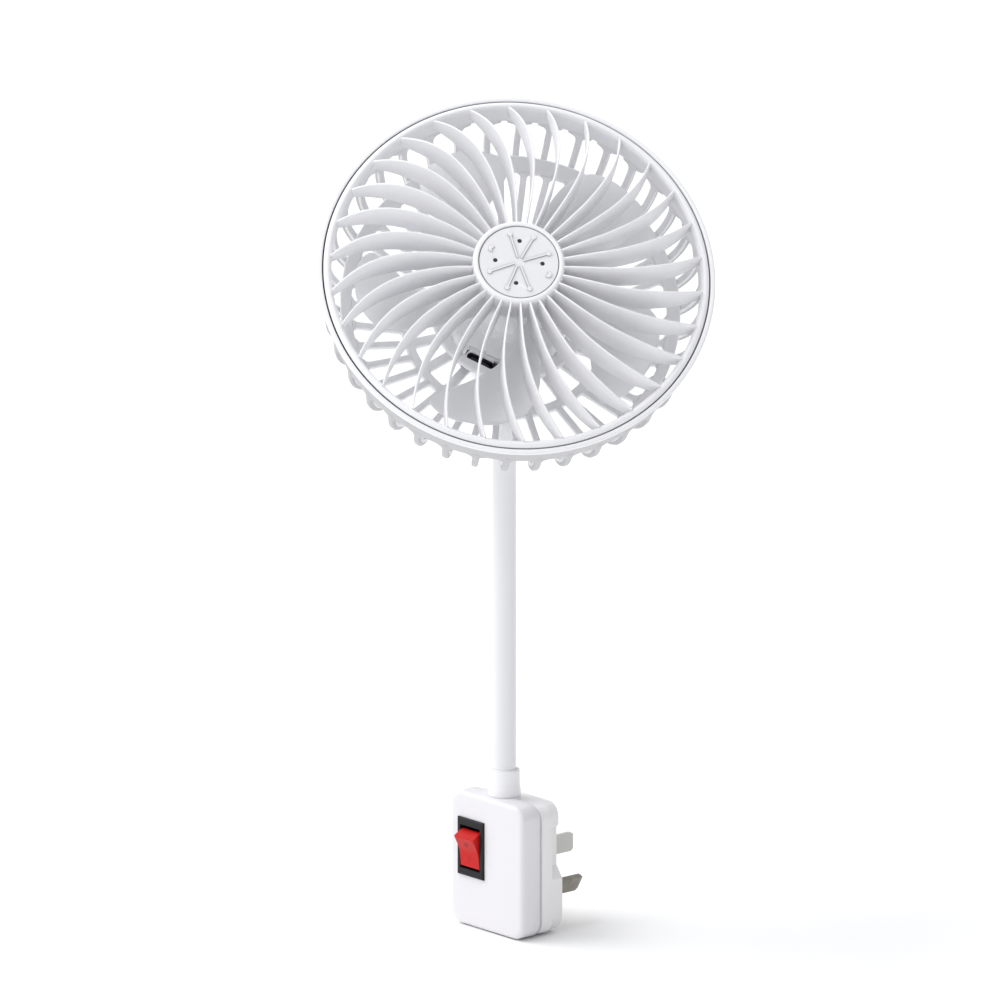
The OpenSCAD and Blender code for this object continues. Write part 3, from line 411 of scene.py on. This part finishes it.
bk = Shape(head)
bk.lathe(soften([(31.8, -36.2), (34.9, -36.2), (34.9, -33.8), (31.8, -33.8)], 0.6, 4), 160)
for k in range(BARS):
    bar(bk, radians(8.53 + 360 * k / BARS), 33.6, -35.0, 51.9, -27.68, 2.1, 2.0)
for k in range(20):
    bar(bk, radians(8 + 18 * k), 19.3, -34.9, 32.6, -34.9, 3.1, 2.1)
back = bk.make("casing_back_bars", bar_white, "head", ["back_grille"], sharp=42)


# ------------------------------------------------------------------ impeller
def sst(x):
    t = min(1, max(0, x)); return t * t * (3 - 2 * t)


def bl(r, s, f):
    w = (3.8 + 12.6 * sst((r - 18) / 29)) * (sqrt(max(0.004, 1 - ((r - 47) / 5.05) ** 2)) if r > 47 else 1)
    arc = s * w
    ang = radians(47 + 35 * ((52 - r) / 39.5) ** 1.35) + arc / r
    z = -((10 + 1.2 * (52 - r) / 39.5) - arc * (0.25 + 0.55 * ((52 - r) / 39.5) ** 1.2)) + 0.99 * (1 - s * s) + f * (0.12 + 0.5 * sqrt(max(0, 1 - s * s)))
    return (r * cos(ang), r * sin(ang), z)


im = Shape(head)
NR, NS = 30, 16
for k in range(5):
    ck, sk = cos(2 * pi * k / 5), sin(2 * pi * k / 5)
    rings = []
    for i in range(NR + 1):
        t = i / NR
        r = 12.3 + (51.95 - 12.3) * (1 - (1 - t) ** 1.6)
        ss = [-cos(pi * j / NS) for j in range(NS + 1)]
        ring = [bl(r, s, 1) for s in ss] + [bl(r, s, -1) for s in reversed(ss)]
        rings.append([(x * ck - y * sk, x * sk + y * ck, z) for x, y, z in ring])
    im.loft(rings)
im.lathe(soften([(0, -3.2), (6, -3.3), (10.5, -4.0), (12.6, -5.4), (13.2, -7.4), (13.2, -16.4), (12.0, -16.4), (12.0, -8), (11.2, -6.2), (9.6, -5.4), (3.4, -4.9), (3.4, -14.2), (1.0, -14.2), (1.0, -5.5), (0, -5.5)],
                [0, 2, 2, 1.5, 1.5, 0.4, 0.4, 1, 1, 1, 0.3, 0.3, 0.1, 0.1, 0], 4), 96)
impeller = im.make("impeller_blades", blade_white, "rotor", ["impeller"], sharp=50, weld=True)


# ------------------------------------------------------------------ neck sleeve
def tube(name, frames, body=None, stands_for=()):
    """frames: (centre, x axis, y axis) down the tube."""
    s = Shape()
    seg = 48
    outer = [[p + ex * NECK_R * cos(2 * pi * j / seg) + ey * NECK_R * sin(2 * pi * j / seg) for j in range(seg)] for p, ex, ey in frames]
    inner = [[p + ex * BORE_R * cos(2 * pi * j / seg) + ey * BORE_R * sin(2 * pi * j / seg) for j in range(seg)] for p, ex, ey in frames]
    s.loft(outer + inner[::-1], loop=True)
    return s.make(name, vinyl, body, stands_for, sharp=50)


EX, EY = Vector((1, 0, 0)), Vector((0, 1, 0))


def up(z):
    return Vector((0, STEM_Y, z))


o = tube("sleeve_foot", [(up(23.6 + (38.5 - 23.6) * i / 3), EX, EY) for i in range(4)], "base", ["neck_sleeve_0"])
for i, h in enumerate(HINGE):
    o = tube("sleeve_bend_%d" % (i + 1), [(up(h - 7.5 + 15 * j / 20), EX, EY) for j in range(21)])
    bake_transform(o)
    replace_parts(o, "neck_sleeve_%d" % (i + 1)) if i < 5 else None
fr = [(up(HINGE[5] + 7.5), BH, Vector((0, 0, 1)).cross(BH)), (up(BEND_Z), BH, Vector((0, 0, 1)).cross(BH))]
for i in range(1, 19):
    a = BEND_A * i / 18
    fr.append((up(BEND_Z) + Vector((0, 0, 1)) * BEND_R * sin(a) + BH * BEND_R * (1 - cos(a)), BH * cos(a) - Vector((0, 0, 1)) * sin(a), Vector((0, 0, 1)).cross(BH)))
fr.append((NECK_END + EN * 2.8, fr[-1][1], fr[-1][2]))
o = tube("sleeve_head", fr, "head", ["neck_sleeve_6"])


# ------------------------------------------------------------------ plug front shell
def rrect(w, h, r, n=12):
    """Rounded rectangle in x-z, centred on the plug's outline."""
    pts = []
    for cx, cz, a0 in ((1, 1, 0), (-1, 1, 90), (-1, -1, 180), (1, -1, 270)):
        for i in range(n + 1):
            a = radians(a0 + 90 * i / n)
            pts.append((cx * (w / 2 - r) + r * cos(a), PLUG_Z + cz * (h / 2 - r) + r * sin(a)))
    return pts


def cut(o, cutter, op="DIFFERENCE"):
    m = o.modifiers.new("cut", "BOOLEAN"); m.operation = op; m.object = cutter; m.solver = "EXACT"
    dg = bpy.context.evaluated_depsgraph_get()
    me = bpy.data.meshes.new_from_object(o.evaluated_get(dg))
    o.modifiers.remove(m)
    old = o.data; o.data = me
    bpy.data.meshes.remove(old)
    bpy.data.objects.remove(cutter)


def block(x0, x1, y0, y1, z0, z1):
    s = Shape()
    s.loft([[(x0, y, z0), (x1, y, z0), (x1, y, z1), (x0, y, z1)] for y in (y0, y1)])
    return s.make("cutter", shell_front_shade)


s = Shape()
ys = [(-REAR_D + 0.0, 0.25), (-REAR_D - 0.08, 0.08), (-REAR_D - 0.25, 0.0), (-14, 0.0)]
R = 1.6
for i in range(9):
    a = pi / 2 * i / 8
    ys.append((-PLUG_D + R - R * sin(a), R * (1 - cos(a))))
s.loft([[(x, y, z) for x, z in rrect(PLUG_W - 2 * q, PLUG_H - 2 * q, max(5 - q * 0.7, 1))] for y, q in ys])
# the front shell takes the painted shade tone
shell = s.make("shell_front", shell_front_shade, sharp=30)
s = Shape()
s.loft([[(x, y, z) for x, z in rrect(PLUG_W - 3.2, PLUG_H - 3.2, 3.4)] for y in (-PLUG_D + 1.6, -REAR_D + 1)])
cut(shell, s.make("cutter", shell_front_shade))
cut(shell, block(SW_X - 6.05, SW_X + 6.05, -25, -12, SW_Z - 8.95, SW_Z + 8.95))
s = Shape()
s.loft([[(3.65 * cos(2 * pi * j / 32), STEM_Y + 3.65 * sin(2 * pi * j / 32), z) for j in range(32)] for z in (15, 25)])
cut(shell, s.make("cutter", shell_front_shade))
shell.data.shade_smooth(); shell.data.set_sharp_from_angle(angle=radians(30))
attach(shell, "base"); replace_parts(shell, "front_shell")


# ------------------------------------------------------------------ on and off marks, pressed into the rocker's face
def rock_pt(x, fwd, up_):
    a = radians(ROCK)                      # x to the side, fwd out of the face (-Y), up_ along Z, then tilted about the pivot
    y, z = -fwd, up_
    return Vector((SW_X + x, PV_Y + y * cos(a) - z * sin(a), SW_Z + y * sin(a) + z * cos(a)))


def face_x(t):
    return 3.58 + 0.2 * sqrt(t * t + 0.8)


mk = Shape()
seg = 28
ring = []
for j in range(seg):
    a = 2 * pi * j / seg
    rg = []
    for q in range(8):
        b_ = 2 * pi * q / 8
        rr_ = 0.62 + 0.13 * cos(b_)
        zz = 2.7 + rr_ * sin(a) * 1.1
        rg.append(rock_pt(rr_ * cos(a), face_x(zz) + 0.02 + 0.06 * sin(b_), zz))
    ring.append(rg)
mk.loft(ring, loop=True)
st = []
for j in range(9):
    zz = -3.6 + 1.6 * j / 8
    st.append([rock_pt(0.13 * cos(2 * pi * q / 8), face_x(zz) + 0.02 + 0.06 * sin(2 * pi * q / 8), zz) for q in range(8)])
mk.loft(st)
marks = mk.make("rocker_marks", red_mark, "rocker")

# ------------------------------------------------------------------ painted shadow: black discs as the dark bottoms of the cap's four holes
for k, a_ in enumerate((98, 187, 8, 273)):
    h = Shape(head)
    x, y = 7.7 * cos(radians(a_)), 7.7 * sin(radians(a_))
    h.loft([[(x + 0.73 * cos(2 * pi * j / 20), y + 0.73 * sin(2 * pi * j / 20), z) for j in range(20)] for z in (8.2, 8.85)])
    o = h.make("cap_hole_shadow_%d" % (k + 1), black, "head")

# ------------------------------------------------------------------ stage, light and camera
fl = Shape(); fl.loft([[(5000 * cos(2 * pi * j / 96), 5000 * sin(2 * pi * j / 96), z) for j in range(96)] for z in (-26.3, -23.3)])
floor_mat = material("floor", (0.95, 0.95, 0.95), rough=0.8, blotch=0.004, grain=0.01, spec=0.1)
floor = fl.make("floor", floor_mat)

L = bpy.data.lights.new("key", "SUN"); lo = bpy.data.objects.new("key", L); scene.collection.objects.link(lo)
KEY = Vector((-0.42, -0.40, 0.81)).normalized()
L.energy = 1.2; L.angle = radians(38); L.color = (1, 0.997, 0.99)
lo.rotation_euler = (-KEY).to_track_quat("-Z", "Y").to_euler()
w = bpy.data.worlds.new("studio"); scene.world = w; w.use_nodes = True
WN, WL = w.node_tree.nodes, w.node_tree.links
tc = WN.new("ShaderNodeTexCoord")
dot = WN.new("ShaderNodeVectorMath"); dot.operation = "DOT_PRODUCT"; WL.new(tc.outputs["Generated"], dot.inputs[0])
dot.inputs[1].default_value = tuple(Vector((-0.36, -0.36, 0.86)).normalized())
mr = WN.new("ShaderNodeMapRange"); WL.new(dot.outputs["Value"], mr.inputs["Value"])
mr.inputs["From Min"].default_value = -0.5; mr.inputs["From Max"].default_value = 0.95; mr.inputs["To Min"].default_value = 0.06; mr.inputs["To Max"].default_value = 1.22
# the backdrop behind the floor's edge is as pale as the floor, up to just above the horizon
xyz = WN.new("ShaderNodeSeparateXYZ"); WL.new(tc.outputs["Generated"], xyz.inputs[0])
hz = WN.new("ShaderNodeMapRange"); WL.new(xyz.outputs["Z"], hz.inputs["Value"])
hz.inputs["From Min"].default_value = 0.025; hz.inputs["From Max"].default_value = 0.045
wm = WN.new("ShaderNodeMix"); wm.data_type = "FLOAT"; WL.new(hz.outputs["Result"], wm.inputs["Factor"])
wm.inputs["A"].default_value = 1.06; WL.new(mr.outputs["Result"], wm.inputs["B"])
WL.new(wm.outputs["Result"], WN["Background"].inputs["Strength"])
WN["Background"].inputs["Color"].default_value = (0.98, 0.985, 1, 1)
scene.view_settings.view_transform = "Standard"

cam = bpy.data.cameras.new("cam"); co = bpy.data.objects.new("cam", cam); scene.collection.objects.link(co)
aim = Vector((-0.02825, 0.01308, 0.11167)) - Vector((0.6562, 0.7545, 0)) * 0.57 * 0.0003258 + Vector((-0.195, 0.170, 0.966)) * 0.22 * 0.0003258
DIST = 12.0
view = Vector((0.729, -0.634, 0.259)).normalized()
cam.sensor_width = 36; cam.sensor_height = 36; cam.sensor_fit = "HORIZONTAL"
cam.lens = 36 * (DIST - 0.035) / 0.3258
co.location = aim + view * DIST
co.rotation_euler = (-view).to_track_quat("-Z", "Y").to_euler()
scene.camera = co
